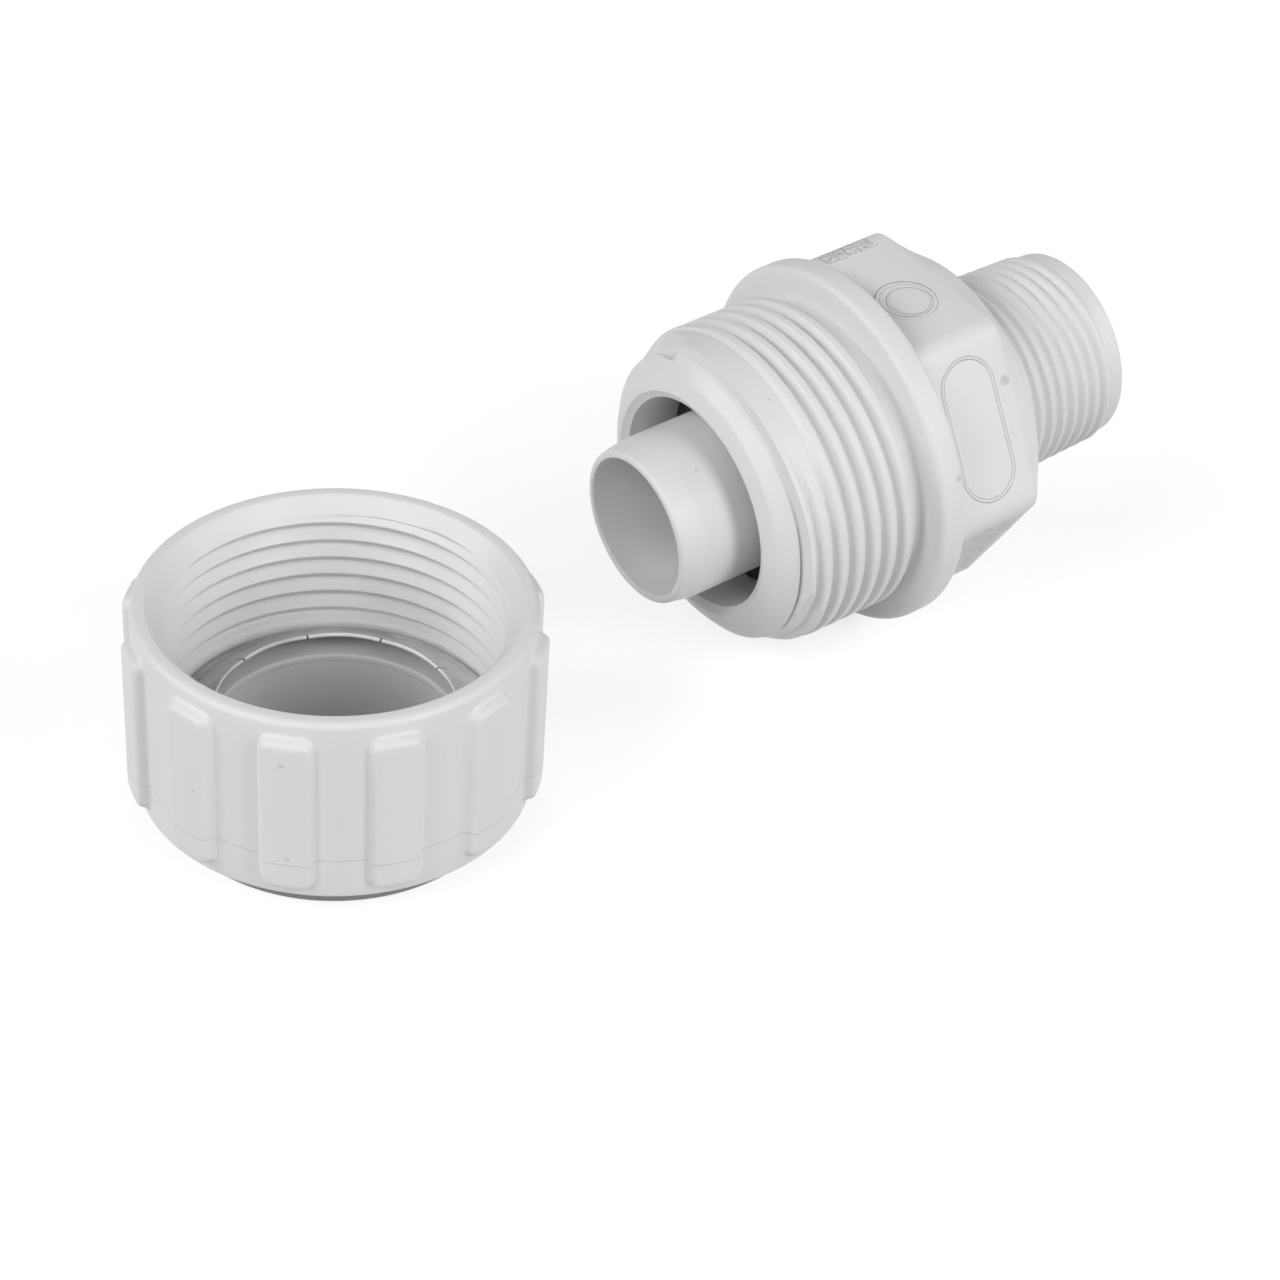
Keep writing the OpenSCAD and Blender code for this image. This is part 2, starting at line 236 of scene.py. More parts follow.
# The hexagon, with rounded corners. Near its end each flat slopes to the round end face.
off_flat = (body_angles - hex_turn + 30) % 60 - 30
off_corner = np.radians(30 - np.abs(off_flat))
corner_half_turn = math.radians(3.75)
round_at = (hex_flat_r - hex_corner_round) / math.cos(math.pi / 6)
past_centre = np.maximum(hex_corner_round**2 - (round_at * np.sin(off_corner)) ** 2, 0)
rounded_r = round_at * np.cos(off_corner) + np.sqrt(past_centre)
hex_r = hex_flat_r / np.cos(np.radians(off_flat))
hex_r = np.where(off_corner < corner_half_turn, rounded_r, hex_r)
end_face_r, slope_start = 19.5, 37.6
body_rows += [(np.minimum(hex_r + 0.3, flange_r - flange_round - 0.05), flange_back)]
body_rows += [(hex_r + 0.08, flange_back + 0.1), (hex_r, flange_back + 0.35)]
body_rows += [(hex_r, 28.0), (hex_r, 31.0), (hex_r, 34.0)]
body_rows += [(hex_r, slope_start - 0.25), (hex_r - 0.05, slope_start - 0.03)]
for share in (0.06, 0.35, 0.65, 0.94):
    sloped = hex_r + (end_face_r - hex_r) * share
    body_rows.append((sloped, slope_start + (hex_end - slope_start) * share))
body_rows += [(end_face_r - 0.05, hex_end - 0.05), (end_face_r - 0.35, hex_end)]
body_rows += [(15.5, hex_end), (14.3, hex_end), (14.05, hex_end + 0.2)]

# The pipe thread, and the smooth land at its end, which runs out along the helix.
pipe_half = pipe_pitch / 2
pipe_outline = [(0, -pipe_depth), (0.1, -pipe_depth), (0.66, 0), (pipe_half, 0)]
pipe_crest_r, pipe_corner, root_turn, pipe_from, pipe_to = 13.1, 0.16, 85, 41.3, 60.6
land_start, land_start_turn, land_drop = 58.5, 47, 0.42


def pipe_radius(t):
    """The tapered thread's skin, 1 in 16 on diameter, with a smooth lower land at its end."""
    r = pipe_crest_r + (pipe_end - t) / 32
    turn = (t - first_root - pipe_pitch * (body_angles - root_turn) / 360) / pipe_pitch
    d = np.abs((turn + 0.5) % 1 - 0.5) * pipe_pitch
    begun = smooth(41.6, 43.0, t)
    land_from = land_start + pipe_pitch * (signed - land_start_turn) / 360
    ended = smooth(0, 0.7, t - land_from)
    return r + softened(pipe_outline, pipe_corner, d) * begun * (1 - ended) - land_drop * ended


pipe_rows = []
pipe_steps = [-0.82, -0.72, -0.58, -0.4, -0.24, -0.1, 0, 0.1, 0.24, 0.4, 0.58, 0.72, 0.82, pipe_half]
for n in range(-8, 6):
    for d in pipe_steps:
        t = first_root + pipe_pitch * (n + (body_angles - root_turn) / 360) + d
        t = np.clip(t, pipe_from, pipe_to)
        pipe_rows.append((pipe_radius(t), t))
start = len(body_rows)
body_rows += pipe_rows
for j in range(len(pipe_rows)):
    body_joins[start + j] = start + min(j + len(pipe_steps), len(pipe_rows) - 1)
pipe_rim_r, pipe_rim_round = 12.2, 0.5
body_rows += arc(pipe_rim_r, pipe_end - pipe_rim_round, pipe_rim_round, 0, 90, 4)

# The water way and the socket, from the pipe thread's end back to the mouth's lead-in.
body_rows += [(9.6, pipe_end), (9.3, pipe_end - 0.1), (flow_r, pipe_end - 0.4), (flow_r, 40.0)]
body_rows += [(flow_r, socket_bottom), (bore_r, socket_bottom), (bore_r, 7.0)]
body_rows += [(bore_r, lead_in_depth + 0.1), (bore_r + 0.05, lead_in_depth - 0.05)]
body_rows += [(mouth_r - 0.15, 0.12), (mouth_r - 0.05, 0.03)]
body_mesh = turned_mesh("body_moulding", body_rows, body_angles, Matrix.Identity(4), body_joins)

# The place of each point on its flat of the hexagon, in millimetres across from the flat's middle
# line and along from the mouth, with the flat's number, for the marks moulded there.
flat_place = body_mesh.attributes.new("flat_place", "FLOAT_VECTOR", "CORNER")
corner_points = np.empty(len(body_mesh.loops), int)
body_mesh.loops.foreach_get("vertex_index", corner_points)
points = np.empty(len(body_mesh.vertices) * 3)
body_mesh.vertices.foreach_get("co", points)
points = points.reshape(-1, 3) * 1000
middles = np.empty(len(body_mesh.polygons) * 3)
body_mesh.polygons.foreach_get("center", middles)
middles = middles.reshape(-1, 3) * 1000
face_sides = np.empty(len(body_mesh.polygons), int)
body_mesh.polygons.foreach_get("loop_total", face_sides)
turn = np.degrees(np.arctan2(middles[:, 1], middles[:, 0]))
flat_number = np.round((turn - hex_turn) / 60) % 6
far_out = np.hypot(middles[:, 0], middles[:, 1]) > 20.0
on_hex = (middles[:, 2] > flange_back + 0.15) & (middles[:, 2] < hex_end - 0.7) & far_out
no_flat = -5
flat_number = np.repeat(np.where(on_hex, flat_number, no_flat), face_sides)
lean = np.radians(hex_turn + 60 * flat_number)
at_corner = points[corner_points]
across = -at_corner[:, 0] * np.sin(lean) + at_corner[:, 1] * np.cos(lean)
places = np.stack([across, at_corner[:, 2], flat_number], -1)
flat_place.data.foreach_set("vector", places.ravel())
body_mesh.transform(on_body)
body_piece = finished("body_moulding", body_mesh)


class Wire:
    """One output in a material's tree. Plain arithmetic on it adds Math nodes."""

    def __init__(self, tree, socket):
        self.tree, self.socket = tree, socket

    def feed(self, target, value):
        """Links a wire to a socket, or sets the socket to a plain value."""
        if isinstance(value, Wire):
            self.tree.links.new(value.socket, target)
        else:
            target.default_value = value

    def node(self, kind, settings=None, sockets=None, out=0):
        """Any other node: its type, its settings, then the values or links of its sockets."""
        made = self.tree.nodes.new(kind)
        for key, value in (settings or {}).items():
            setattr(made, key, value)
        for key, value in (sockets or {}).items():
            self.feed(made.inputs[key], value)
        return Wire(self.tree, made.outputs[out])

    def beside(self, out):
        """Another output of the node that this one comes from."""
        return Wire(self.tree, self.socket.node.outputs[out])

    def maths(self, operation, *values):
        """A Math node with that operation."""
        return self.node("ShaderNodeMath", {"operation": operation}, dict(enumerate(values)))

    def __add__(self, other):
        return self.maths("ADD", self, other)

    __radd__ = __add__

    def __sub__(self, other):
        return self.maths("SUBTRACT", self, other)

    def __rsub__(self, other):
        return self.maths("SUBTRACT", other, self)

    def __mul__(self, other):
        return self.maths("MULTIPLY", self, other)

    __rmul__ = __mul__

    def __abs__(self):
        return self.maths("ABSOLUTE", self)

    def between(self, low, high):
        """0 below low, 1 above high, and smooth in between."""
        return self.node(
            "ShaderNodeMapRange",
            {"interpolation_type": "SMOOTHSTEP"},
            {"Value": self, "From Min": low, "From Max": high},
        )

    def stripe(self, middle, half, soft):
        """1 within half of middle, fading to 0 over soft."""
        return 1 - abs(self - middle).between(half, half + soft)


def new_finish(name, **fixed):
    """A material with one Principled shader. Fixed values go on its own sockets."""
    material = bpy.data.materials.new(name)
    material.use_nodes = True
    tree = material.node_tree
    shader = tree.nodes["Principled BSDF"]
    for key, value in fixed.items():
        shader.inputs[key].default_value = value
    tie = Wire(tree, shader.outputs[0])
    place = tie.node("ShaderNodeTexCoord", out="Object")
    return material, shader, tie, place


moulded_white = (0.79, 0.79, 0.79, 1.0)


def white_moulding(name, extra_height=None, extra_tone=None):
    """White injection-moulded plastic: a fine satin skin, faint flow clouds and a few specks."""
    material, shader, tie, place = new_finish(name)
    clouds = tie.node("ShaderNodeTexNoise", None, {"Vector": place, "Scale": 45.0, "Detail": 3.0})
    drawn_out = tie.node("ShaderNodeMapping", None, {"Vector": place, "Scale": (1.0, 1.0, 0.12)})
    streak_size = {"Vector": drawn_out, "Scale": 420.0, "Detail": 2.0}
    streaks = tie.node("ShaderNodeTexNoise", None, streak_size)
    cells = {"Vector": place, "Scale": 105.0, "Randomness": 1.0}
    speck_far = tie.node("ShaderNodeTexVoronoi", None, cells)
    speck_pick = tie.node("ShaderNodeTexVoronoi", None, cells, out="Color")
    chosen = tie.node("ShaderNodeSeparateColor", None, {"Color": speck_pick})
    specks = (1 - speck_far.between(0.012, 0.03)) * chosen.between(0.86, 0.88)
    tone = 0.985 + clouds * 0.02 + streaks * 0.012 - specks * 0.35
    if extra_tone:
        tone = tone * extra_tone(tie, place)
    colour = tie.node(
        "ShaderNodeMix",
        {"data_type": "RGBA", "blend_type": "MULTIPLY"},
        {0: 1.0, 6: moulded_white, 7: tone},
        out=2,
    )
    tie.feed(shader.inputs["Base Color"], colour)
    skin = tie.node("ShaderNodeTexNoise", None, {"Vector": place, "Scale": 2600.0, "Detail": 2.0})
    waves = tie.node("ShaderNodeTexNoise", None, {"Vector": place, "Scale": 260.0, "Detail": 1.0})
    tie.feed(shader.inputs["Roughness"], 0.38 + skin * 0.06 + clouds * 0.05)
    height = skin * 0.006 + waves * 0.02
    if extra_height:
        height = height + extra_height(tie, place)
    relief_size = {"Strength": 1.0, "Distance": 0.001, "Height": height}
    tie.feed(shader.inputs["Normal"], tie.node("ShaderNodeBump", None, relief_size))
    return material


def scuffs(*spots):
    """Small grey rubbed marks, each given by its place and size in millimetres and its darkness."""

    def tone(tie, place):
        fine = {"Vector": place, "Scale": 1400.0, "Detail": 3.0}
        mottle = tie.node("ShaderNodeTexNoise", None, fine)
        clean = 1.0
        for at, size, dark in spots:
            ends = {0: place, 1: tuple(0.001 * c for c in at)}
            gap = tie.node("ShaderNodeVectorMath", {"operation": "DISTANCE"}, ends, out="Value")
            near = 1 - (gap * 1000 + mottle * size).between(size * 0.7, size * 1.2)
            clean = clean * (1 - near * dark)
        return clean

    return tone


def on_flats(tie):
    """The place across and along the hexagon's flat, and the flat's number."""
    spot = tie.node("ShaderNodeAttribute", {"attribute_name": "flat_place"}, out="Vector")
    across = tie.node("ShaderNodeSeparateXYZ", None, {"Vector": spot})
    return across, across.beside(1), across.beside(2)


def only(number, flat):
    """1 on that flat of the hexagon and 0 on the others."""
    return number.stripe(flat, 0.2, 0.1)


def grip_patches(tie):
    """Where the fine grip texture lies, and its short raised strokes. One patch is on a low flat.
    The other is on a high flat and reaches over the corner beside it."""
    across, along, number = on_flats(tie)
    turned = tie.node("ShaderNodeCombineXYZ", None, {0: along, 1: across})
    squeeze = {"Vector": turned, "Scale": (0.75, 1.5, 1.0)}
    squeezed = tie.node("ShaderNodeMapping", None, squeeze)
    grain = tie.node("ShaderNodeTexNoise", None, {"Vector": squeezed, "Scale": 1.5, "Detail": 1.5})
    ragged = tie.node("ShaderNodeTexNoise", None, {"Vector": turned, "Scale": 0.7, "Detail": 2.0})
    along = along + (ragged - 0.5) * 2.5
    low_patch = only(number, 2) * along.stripe(31.6, 4.6, 0.3) * across.stripe(0, 8.6, 0.3)
    strip = only(number, 0) * (1 - across.between(-9.4, -8.8)) + only(number, 5)
    top_patch = strip * along.stripe(31.2, 3.8, 0.3)
    return low_patch + top_patch, grain.between(0.44, 0.56)


def body_marks(tie, place):
    """Heights in millimetres on the hexagon's flats: the long sunk panel with its raised rim, the
    two rings of the round mark, and the fine grip texture."""
    across, along, number = on_flats(tie)
    panel_along, panel_half, panel_r = 31.2, 5.35, 3.95
    ahead = along - panel_along
    sideways = tie.maths("MAXIMUM", abs(across) - panel_half, 0.0)
    panel_edge = tie.maths("SQRT", ahead * ahead + sideways * sideways) - panel_r
    sunk = (panel_edge.between(-0.12, 0.12) - 1) * 0.08
    panel = only(number, 1) * (sunk + panel_edge.stripe(0, 0.14, 0.14) * 0.2)
    x, y = across - 2.15, along - 31.1
    outer_r = tie.maths("SQRT", x * x + y * y)
    x, y = across - 2.6, along - 31.3
    inner_r = tie.maths("SQRT", x * x + y * y)
    rings = outer_r.stripe(3.7, 0.2, 0.16) * 0.28 + inner_r.stripe(2.8, 0.12, 0.14) * 0.16
    patch, strokes = grip_patches(tie)
    return panel + only(number, 0) * rings + patch * strokes * 0.22


body_scuffs = scuffs(
    ((89.4, -14.5, 38.4), 1.3, 0.25),
    ((77.4, -21.2, 31.5), 1.0, 0.22),
    ((57.6, -6.9, 41.8), 0.35, 0.3),
)


def body_tone(tie, place):
    """A few scuffs, and the strokes of the grip texture a shade darker."""
    patch, strokes = grip_patches(tie)
    return body_scuffs(tie, place) * (1 - patch * strokes * 0.13)


body_plastic = white_moulding("body_white_plastic", body_marks, body_tone)
body_piece.data.materials.append(body_plastic)
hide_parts("body")
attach(body_piece, "root")

# Stem. The thin-walled tube that stands in the middle of the socket and holds the pipe's end
# round; it belongs to the same moulding as the body and has a lead-in taper at its mouth.
stem_r, stem_out, stem_rim_r, stem_rim_round = 10.75, 8.5, 9.7, 0.6
stem_end = -stem_out
stem_angles = np.arange(0, 360, 2.5)
stem_rows = [(9.38, stem_end), (9.6, stem_end)]
stem_rows += arc(stem_rim_r, stem_end + stem_rim_round, stem_rim_round, -84, -8, 6)
stem_rows += [(10.62, stem_end + 2.6), (10.72, stem_end + 3.1), (stem_r, stem_end + 3.8)]
stem_rows += [(stem_r, -1.0), (stem_r, 4.0), (stem_r, socket_bottom), (flow_r, socket_bottom)]
stem_rows += [(flow_r, 2.0), (flow_r, stem_end + 0.35), (9.26, stem_end + 0.1)]
stem_piece = finished("stem_tube", turned_mesh("stem_tube", stem_rows, stem_angles, on_body))
stem_scuffs = scuffs(((50.1, -3.1, 31.9), 0.5, 0.22))
stem_piece.data.materials.append(white_moulding("stem_white_plastic", None, stem_scuffs))
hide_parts("stem")
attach(stem_piece, "root")

# Seal. A moulded black rubber ring on the socket's bottom, filling the gap between the stem and
# the bore. The pipe's end squeezes it when the nut is done up.
seal_r, seal_in_r, seal_face = bore_r - 0.02, 10.8, 7.7
seal_rows = [(seal_in_r + 0.4, seal_face + 0.08), (11.5, seal_face), (seal_r - 0.6, seal_face)]
seal_rows += [(seal_r - 0.3, seal_face + 0.08), (seal_r - 0.05, 8.0), (seal_r, 8.4)]
seal_rows += [(seal_r, 11.0), (seal_r, socket_bottom), (seal_in_r, socket_bottom)]
seal_rows += [(seal_in_r, 11.0), (seal_in_r, 8.4), (seal_in_r + 0.08, 8.0)]
seal_piece = finished("seal_ring", turned_mesh("seal_ring", seal_rows, stem_angles, on_body))
rubber, shader, tie, place = new_finish("seal_rubber")
grain = tie.node("ShaderNodeTexNoise", None, {"Vector": place, "Scale": 900.0, "Detail": 4.0})
bloom = tie.node("ShaderNodeTexNoise", None, {"Vector": place, "Scale": 110.0, "Detail": 2.0})
blacks = {0: bloom * 0.8, 6: (0.006, 0.006, 0.006, 1.0), 7: (0.016, 0.016, 0.016, 1.0)}
rubber_tone = tie.node("ShaderNodeMix", {"data_type": "RGBA"}, blacks, out=2)
tie.feed(shader.inputs["Base Color"], rubber_tone)
tie.feed(shader.inputs["Roughness"], 0.5 + grain * 0.2)
rubber_skin = {"Strength": 0.5, "Distance": 0.0002, "Height": grain}
tie.feed(shader.inputs["Normal"], tie.node("ShaderNodeBump", None, rubber_skin))
seal_piece.data.materials.append(rubber)
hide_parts("seal")
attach(seal_piece, "root")

# Nut. A white moulding with a coarse inside thread, a lead-in at its open end, a shoulder for the
# grab ring and a bore for the pipe. It stands on its narrower foot.
nut_h, rim_r, foot_r, foot_h = 29.1, 24.1, 20.5, 3.6
seat_z, exit_r, nut_crest_r, nut_root_r = 10.0, 14.9, 20.15, 21.2
nut_draft, rim_round, step_round, exit_round = 0.25, 0.9, 0.5, 0.45
nut_angles = np.arange(0, 360, 1.5)


def wall_r(z):
    """The drafted outer wall: a little narrower towards the foot."""
    return rim_r - nut_draft * (nut_h - z) / nut_h


groove_depth, nut_thread_corner = nut_root_r - nut_crest_r, 0.42
nut_outline = [(0, groove_depth), (0.4, groove_depth), (1.02, 0), (half_pitch, 0)]
groove_z, groove_turn = 25.0, 58.3
lead_in_z, lead_in_slope = 26.55, 0.82
run_out_z, run_out_r = 11.0, 20.3


def nut_radius(z):
    """The inside thread's skin, cut by the lead-in cone above and run out above the shoulder."""
    turn = (z - groove_z - thread_pitch * (nut_angles - groove_turn) / 360) / thread_pitch
    d = np.abs((turn + 0.5) % 1 - 0.5) * thread_pitch
    deep = smooth(run_out_z, 12.4, z) * (1 - smooth(26.6, 27.6, z))
    r = nut_crest_r + softened(nut_outline, nut_thread_corner, d) * deep
    cone = nut_crest_r + (z - lead_in_z) * lead_in_slope
    return np.maximum(np.maximum(r, cone), np.where(z < run_out_z, run_out_r, 0))


nut_rows = [(exit_r + 0.25, 0.0), (foot_r - 0.5, 0.0), (foot_r - 0.15, 0.15), (foot_r, 0.5)]
nut_rows += [(foot_r, 3.3), (foot_r + 0.12, 3.52), (foot_r + 0.35, foot_h), (23.1, foot_h)]
nut_rows += arc(23.36, foot_h + step_round, step_round, -90, 0, 4)
nut_rows += [(wall_r(z), z) for z in (5.0, 9.0, 14.0, 20.0, 26.0)]
nut_rows += arc(rim_r - rim_round, nut_h - rim_round, rim_round - 0.02, 0, 90, 6)
nut_rows += [(22.4, nut_h), (22.25, nut_h - 0.03), (22.15, nut_h - 0.12)]
nut_steps = [half_pitch, 1.14, 1.02, 0.88, 0.54, 0.4, 0.27, 0.0]
nut_steps += [-0.27, -0.4, -0.54, -0.88, -1.02, -1.14]
inside_from, inside_to = 28.75, 10.5
inside_rows = []
for n in range(2, -9, -1):
    for d in nut_steps:
        z = groove_z + thread_pitch * (n + (nut_angles - groove_turn) / 360) + d
        z = np.clip(z, inside_to, inside_from)
        inside_rows.append((nut_radius(z), z))
start = len(nut_rows)
nut_rows += inside_rows
nut_joins = {start + j: start + max(j - len(nut_steps), 0) for j in range(len(inside_rows))}
nut_rows += [(run_out_r, 10.12), (nut_crest_r, seat_z), (17.0, seat_z), (15.45, seat_z)]
nut_rows += arc(exit_r + exit_round, seat_z - exit_round, exit_round, 100, 180, 5)
nut_rows += [(exit_r, 5.0), (exit_r, 0.3), (exit_r + 0.07, 0.08)]
nut_mesh = turned_mesh("nut_shell", nut_rows, nut_angles, Matrix.Identity(4), nut_joins)
nut_piece = finished("nut_shell", nut_mesh)
parting_z = 9.3


def nut_parting(tie, place):
    """A hair of flash where the mould parts, two thirds of the way down the wall."""
    height = tie.node("ShaderNodeSeparateXYZ", None, {"Vector": place}, out=2)
    return (height * 1000).stripe(parting_z, 0.04, 0.09) * 0.06


nut_scuffs = scuffs(
    ((-18.2, -17.8, 23.7), 0.7, 0.22),
    ((-17.7, -18.1, 10.2), 0.6, 0.2),
    ((-24.0, -7.9, 16.0), 0.5, 0.2),
)


def nut_scuffs_and_painted_shade(tie, place):
    """The scuffs, then painted shade: a greyer inside deep among the threads, where little light
    comes out, and a darker foot, painted in the shadow of the wall above.
    """
    height = tie.node("ShaderNodeSeparateXYZ", None, {"Vector": place}, out=2) * 1000
    flatten = {0: place, 1: (1.0, 1.0, 0.0)}
    level = tie.node("ShaderNodeVectorMath", {"operation": "MULTIPLY"}, flatten)
    length = tie.node("ShaderNodeVectorMath", {"operation": "LENGTH"}, {0: level}, out="Value")
    out_at = length * 1000
    # Painted shade: the inside is greyed deep among the threads, and the foot is darkened under the
    # wall's overhang.
    inside = 1 - out_at.between(21.6, 21.9)
    deep = 1 - height.between(9.0, 22.0)
    painted_foot_shade = out_at.between(18.5, 19.0) * (1 - height.between(3.35, foot_h))
    return nut_scuffs(tie, place) * (1 - inside * deep * 0.12) * (1 - painted_foot_shade * 0.6)


nut_plastic = white_moulding("nut_white_plastic", nut_parting, nut_scuffs_and_painted_shade)
nut_piece.data.materials.append(nut_plastic)
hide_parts("nut")
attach(nut_piece, "root")

# Grip ribs. Twelve round-cornered bars moulded on the nut's wall. Each has drafted sides, a soft
# outer edge and a small fillet at its root.
rib_half, rib_low, rib_high, rib_h, rib_corner = 3.1, 5.2, 26.9, 1.34, 1.4
rib_count, first_rib_turn, rib_root_r, rib_mid_r = 12, math.radians(15), 22.6, 23.8
# The rib's height above the wall, by how far a point lies inside the rib's outline.
rib_insets = [-0.45, -0.34, -0.22, -0.1, 0.0, 0.1, 0.22, 0.36, 0.5, 0.66, 0.84, 1.1, 1.4]
rib_rises = [-0.06, 0.0, 0.04, 0.15, 0.34, 0.6, 0.86, 1.06, 1.18, 1.26, 1.31, 1.33, rib_h]
column_insets = rib_insets + [1.9]
across = [rib_half - s for s in column_insets]
across = np.array(sorted([-a for a in across] + [-0.6, 0.0, 0.6] + across))
middle_z, half_z = (rib_low + rib_high) / 2, (rib_high - rib_low) / 2
upward = [half_z - s for s in column_insets]
upward = np.array(sorted([-a for a in upward] + list(np.linspace(-8, 8, 7)) + upward))
wide_at, high_at = np.meshgrid(across, upward, indexing="ij")
past_side = np.maximum(np.abs(wide_at) - (rib_half - rib_corner), 0)
past_end = np.maximum(np.abs(high_at) - (half_z - rib_corner), 0)
in_round = rib_corner - np.hypot(past_side, past_end)
in_straight = np.minimum(rib_half - np.abs(wide_at), half_z - np.abs(high_at))
inset = np.where((past_side > 0) & (past_end > 0), in_round, in_straight)
z = middle_z + high_at
outer = wall_r(z) + np.interp(inset, rib_insets, rib_rises)
turn = wide_at / rib_mid_r
top = np.stack([outer * np.cos(turn), outer * np.sin(turn), z], -1).reshape(-1, 3)
inner = np.full(z.shape, rib_root_r)
under = np.stack([inner * np.cos(turn), inner * np.sin(turn), z], -1).reshape(-1, 3)
long, wide = wide_at.shape
faces = []
for i in range(long - 1):
    for j in range(wide - 1):
        a, b, c, d = i * wide + j, (i + 1) * wide + j, (i + 1) * wide + j + 1, i * wide + j + 1
        faces += [(a, b, c, d), tuple(long * wide + v for v in (d, c, b, a))]
edge = [i * wide for i in range(long)] + [(long - 1) * wide + j for j in range(1, wide)]
edge += [i * wide + wide - 1 for i in range(long - 2, -1, -1)] + list(range(wide - 2, 0, -1))
faces += [(b, a, long * wide + a, long * wide + b) for a, b in zip(edge, edge[1:] + edge[:1])]
rib_mesh = bpy.data.meshes.new("grip_ribs")
rib_mesh.from_pydata((np.concatenate([top, under]) * 0.001).tolist(), [], faces)


def around_the_axis(name, piece, count, first_turn, weld, finish):
    """Geometry Nodes: sets copies of a piece round the nut's axis, welds their meeting edges, and
    gives back one plain mesh."""
    tree = bpy.data.node_groups.new(name, "GeometryNodeTree")
    face = tree.interface
    face.new_socket("Geometry", in_out="INPUT", socket_type="NodeSocketGeometry")
    ports = {
        key: face.new_socket(key, in_out="INPUT", socket_type=kind).identifier
        for key, kind in (
            ("Count", "NodeSocketInt"),
            ("First Turn", "NodeSocketFloat"),
            ("Weld Distance", "NodeSocketFloat"),
            ("Finish", "NodeSocketMaterial"),
        )
    }
    face.new_socket("Geometry", in_out="OUTPUT", socket_type="NodeSocketGeometry")
    add, tie = tree.nodes.new, tree.links.new
    given, result = add("NodeGroupInput"), add("NodeGroupOutput")
    points, placed = add("GeometryNodePoints"), add("GeometryNodeInstanceOnPoints")
    number, share = add("GeometryNodeInputIndex"), add("ShaderNodeMath")
    angle, turning = add("ShaderNodeMath"), add("FunctionNodeAxisAngleToRotation")
    real, welded = add("GeometryNodeRealizeInstances"), add("GeometryNodeMergeByDistance")
    painted = add("GeometryNodeSetMaterial")
    share.operation, angle.operation = "DIVIDE", "MULTIPLY_ADD"
    angle.inputs[1].default_value = math.tau
    tie(given.outputs["Count"], points.inputs["Count"])
    tie(number.outputs[0], share.inputs[0])
    tie(given.outputs["Count"], share.inputs[1])
    tie(share.outputs[0], angle.inputs[0])
    tie(given.outputs["First Turn"], angle.inputs[2])
    tie(angle.outputs[0], turning.inputs["Angle"])
    tie(points.outputs[0], placed.inputs["Points"])
    tie(given.outputs["Geometry"], placed.inputs["Instance"])
    tie(turning.outputs[0], placed.inputs["Rotation"])
    tie(placed.outputs[0], real.inputs[0])
    tie(real.outputs[0], welded.inputs["Geometry"])
    tie(given.outputs["Weld Distance"], welded.inputs["Distance"])
    tie(welded.outputs[0], painted.inputs["Geometry"])
    tie(given.outputs["Finish"], painted.inputs["Material"])
    tie(painted.outputs[0], result.inputs[0])
    layout = piece.modifiers.new(name, "NODES")
    layout.node_group = tree
    layout[ports["Count"]] = count
    layout[ports["First Turn"]] = first_turn
    layout[ports["Weld Distance"]] = weld
    layout[ports["Finish"]] = finish
    bpy.context.view_layer.update()
    seen = piece.evaluated_get(bpy.context.evaluated_depsgraph_get())
    plain_mesh = bpy.data.meshes.new_from_object(seen)
    piece.modifiers.remove(layout)
    bpy.data.objects.remove(piece)
    return plain_mesh


one_rib = finished("one_rib", rib_mesh, 60)
all_ribs = around_the_axis("ribs_round_nut", one_rib, rib_count, first_rib_turn, 1e-7, nut_plastic)
rib_piece = finished("grip_ribs", all_ribs, 60)
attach(rib_piece, "root")

# Grab ring. Pressed from stainless sheet: a flat outer band on the nut's shoulder, then a cone
# that climbs to the teeth. Narrow round-ended slits part the ten teeth, so each can bite alone.
ring_out, ring_tip, ring_t, band_in = 19.88, 14.45, 0.5, 19.2
ring_rise = math.tan(math.radians(33))
tooth_count, tooth_bow, tip_bevel = 10, 0.05, 0.28
tooth_turns = math.tau / tooth_count
slit_half, slit_end = 0.12, 16.2
# The sheet's under side from the outer edge to a tooth's tip, as radius and height.
ring_path = [(ring_out, 0.0), (ring_out - 0.35, 0.0), (band_in, 0.02), (band_in - 0.3, 0.12)]
cone_radii = list(np.linspace(18.5, 16.6, 4)) + [16.35, slit_end, 16.1, 15.9, 15.7, 15.2, 14.95]
cone_radii += [ring_tip + 0.26, ring_tip]
ring_path += [(r, (band_in - r) * ring_rise - 0.03) for r in cone_radii]
share_at = np.linspace(-1, 1, 25)
points, faces = [], []
for side in (0, 1):
    for r, z in ring_path:
        if r > slit_end:
            cut = 0.0
        elif r < slit_end - slit_half:
            cut = slit_half
        else:
            cut = math.sqrt(max(slit_half**2 - (r - slit_end + slit_half) ** 2, 0))
        half = tooth_turns / 2 - cut / r
        thick = ring_t - tip_bevel if r == ring_tip else ring_t
        for share in share_at:
            bow = tooth_bow * math.cos(share * 2.6) if r < 16 else 0.0
            turn = half * share
            points.append((r * math.cos(turn), r * math.sin(turn), z + bow + thick * side))
long, wide = len(ring_path), len(share_at)
for j in range(long - 1):
    for i in range(wide - 1):
        a, b, c, d = j * wide + i, j * wide + i + 1, (j + 1) * wide + i + 1, (j + 1) * wide + i
        faces += [(d, c, b, a), tuple(long * wide + v for v in (a, b, c, d))]
for i in range(wide - 1):
    faces.append((i, i + 1, long * wide + i + 1, long * wide + i))
    j = (long - 1) * wide + i
    faces.append((j + 1, j, long * wide + j, long * wide + j + 1))
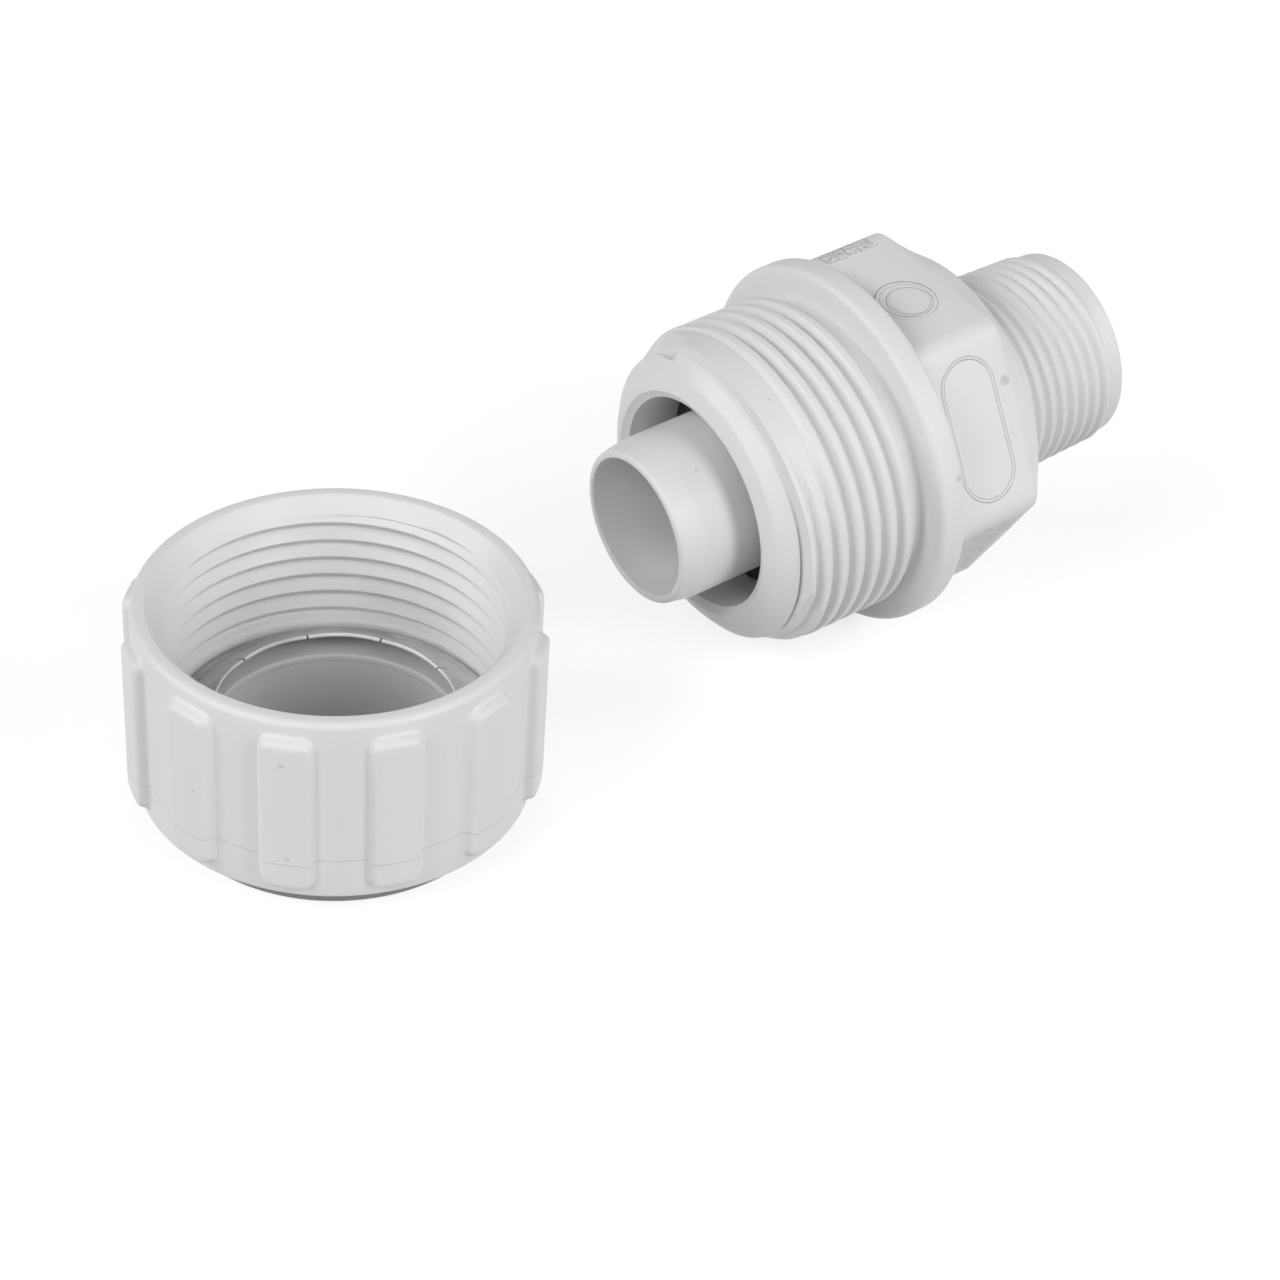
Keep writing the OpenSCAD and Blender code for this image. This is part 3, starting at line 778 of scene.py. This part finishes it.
for j in range(long - 1):
    if ring_path[j + 1][0] < slit_end - 0.01:
        a, b = j * wide, (j + 1) * wide
        faces.append((a, long * wide + a, long * wide + b, b))
        a, b = a + wide - 1, b + wide - 1
        faces.append((b, long * wide + b, long * wide + a, a))
tooth_mesh = bpy.data.meshes.new("one_tooth")
tooth_mesh.from_pydata((np.array(points) * 0.001).tolist(), [], faces)
tooth_mesh.transform(Matrix.Translation((0, 0, (seat_z + 0.08) * 0.001)))
steel, shader, tie, place = new_finish("ring_steel", Metallic=1.0)
east = tie.node("ShaderNodeSeparateXYZ", None, {"Vector": place})
north = east.beside(1)
out_from_axis = tie.maths("SQRT", east * east + north * north)
turned = tie.node("ShaderNodeCombineXYZ", None, {0: out_from_axis * 9.0, 1: east, 2: north})
brushed = tie.node("ShaderNodeTexNoise", None, {"Vector": turned, "Scale": 160.0, "Detail": 3.0})
smudge = tie.node("ShaderNodeTexNoise", None, {"Vector": place, "Scale": 190.0, "Detail": 3.0})
# The steel's tone: random smudges, times a painted glint that makes the ring brighter towards its +x
# side, where the teeth catch the light.
smudge_and_painted_glint = (smudge + 0.4) * (east * 18 + 0.6)
steels = {0: smudge_and_painted_glint, 6: (0.2, 0.2, 0.2, 1.0), 7: (0.9, 0.9, 0.9, 1.0)}
steel_tone = tie.node("ShaderNodeMix", {"data_type": "RGBA"}, steels, out=2)
tie.feed(shader.inputs["Base Color"], steel_tone)
tie.feed(shader.inputs["Roughness"], 0.22 + brushed * 0.2)
brush_marks = {"Strength": 0.35, "Distance": 0.0002, "Height": brushed}
tie.feed(shader.inputs["Normal"], tie.node("ShaderNodeBump", None, brush_marks))
one_tooth = finished("one_tooth", tooth_mesh, 35)
ring_mesh = around_the_axis("teeth_round_ring", one_tooth, tooth_count, tooth_turns / 2, 2e-6, steel)
ring_piece = finished("grab_ring_steel", ring_mesh, 35)
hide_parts("grab_ring")
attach(ring_piece, "root")

# Floor and light. A flat white floor under both parts shows pure white to the camera, with only
# the parts' own shadow left on it. A pale surround and seven round soft panels light them.
floor_mesh = bpy.data.meshes.new("floor")
floor_mesh.from_pydata([(-3, -3, 0), (3, -3, 0), (3, 3, 0), (-3, 3, 0)], [], [(0, 1, 2, 3)])
floor = bpy.data.objects.new("floor", floor_mesh)
bpy.context.scene.collection.objects.link(floor)


def seen_directly(tie):
    """1 on what the camera sees, also in a gloss or through glass, and 0 where light is gathered."""
    rays = tie.node("ShaderNodeLightPath", out="Is Camera Ray")
    mirrored = rays.beside("Is Glossy Ray") + rays.beside("Is Transmission Ray")
    return tie.maths("MINIMUM", rays + mirrored, 1.0)


full_white = (1.0, 1.0, 1.0, 1.0)
paper = bpy.data.materials.new("floor_white")
paper.use_nodes = True
paper.node_tree.nodes.clear()
tie = Wire(paper.node_tree, None)
matt = tie.node("ShaderNodeBsdfDiffuse", None, {"Color": (0.5, 0.5, 0.5, 1.0)})
glow_level = {"Color": full_white, "Strength": seen_directly(tie) * 0.7}
glow = tie.node("ShaderNodeEmission", None, glow_level)
both = tie.node("ShaderNodeAddShader", None, {0: matt, 1: glow})
end = tie.tree.nodes.new("ShaderNodeOutputMaterial")
tie.feed(end.inputs["Surface"], both)
floor_mesh.materials.append(paper)

world = bpy.data.worlds.new("surround")
bpy.context.scene.world = world
world.use_nodes = True
world.node_tree.nodes.clear()
tie = Wire(world.node_tree, None)
sky = tie.node("ShaderNodeBackground", None, {"Color": full_white, "Strength": 0.17})
white = tie.node("ShaderNodeBackground", None, {"Color": full_white, "Strength": 1.0})
mixed = tie.node("ShaderNodeMixShader", None, {0: seen_directly(tie), 1: sky, 2: white})
end = tie.tree.nodes.new("ShaderNodeOutputWorld")
tie.feed(end.inputs["Surface"], mixed)

lit_point = np.array((0.03, 0, 0.02))
panel_distance, panel_size = 1.2, 0.5


def soft_panel(name, turn, climb, power):
    """A round lamp that faces the parts, placed by its turn and its climb in degrees."""
    lamp = bpy.data.lights.new(name, "AREA")
    lamp.shape, lamp.size, lamp.energy = "DISK", panel_size, power
    holder = bpy.data.objects.new(name, lamp)
    bpy.context.scene.collection.objects.link(holder)
    turn, climb = math.radians(turn), math.radians(climb)
    level = math.cos(climb)
    back = np.array((math.cos(turn) * level, math.sin(turn) * level, math.sin(climb)))
    at = lit_point + panel_distance * back
    side = np.cross((0, 0, 1), back)
    side /= np.linalg.norm(side)
    up = np.cross(back, side)
    holder.matrix_world = Matrix(
        [[side[i], up[i], back[i], at[i]] for i in range(3)] + [[0, 0, 0, 1]]
    )


soft_panel("panel_far_left", 148, 30, 4.2)
soft_panel("panel_left", 193, 35, 3.6)
soft_panel("panel_left_low", 193, 10, 1.1)
soft_panel("panel_front", 238, 40, 0.8)
soft_panel("panel_right", 283, 35, 3.9)
soft_panel("panel_right_low", 283, 10, 2.1)
soft_panel("panel_far_right", 328, 30, 2.4)
